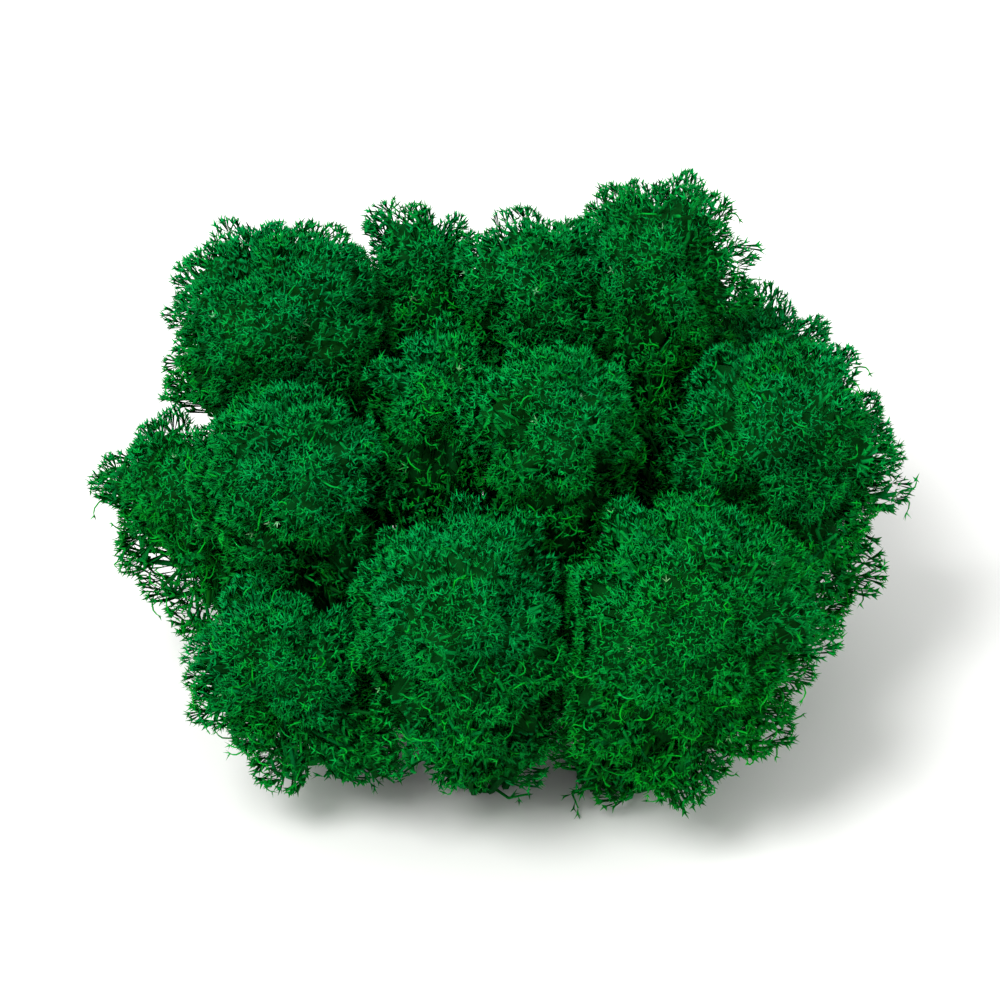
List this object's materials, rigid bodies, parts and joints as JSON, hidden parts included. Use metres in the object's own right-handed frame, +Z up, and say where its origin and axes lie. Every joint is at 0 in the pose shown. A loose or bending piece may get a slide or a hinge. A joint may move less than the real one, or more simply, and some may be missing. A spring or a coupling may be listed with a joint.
{
  "type": "reindeer moss clump",
  "caption": "Standing clump of dyed green reindeer moss: tangled bare stems under crowded round crowns of forked twigs.",
  "frame": {"origin": "on the ground, under the middle of the clump's bounding box", "axes": "+Z up, -Y towards the viewer of the front, +X to that viewer's right"},
  "size_m": [0.113, 0.1, 0.0724],
  "materials": {
    "lichen": "matt, dyed and preserved"
  },
  "bodies": {
    "root": {"head_01_back_left": "lichen", "head_02_back_small": "lichen", "head_03_back_double_left": "lichen", "head_04_back_double_right": "lichen", "head_05_middle_left": "lichen", "head_06_middle_small": "lichen", "head_07_middle": "lichen", "head_08_far_left": "lichen", "head_09_front_left": "lichen", "head_10_front_right": "lichen", "head_11_right": "lichen", "head_12_low_left": "lichen", "head_13_rear_left": "lichen", "head_14_rear_middle": "lichen", "head_15_rear_right": "lichen"}
  },
  "joints": []
}
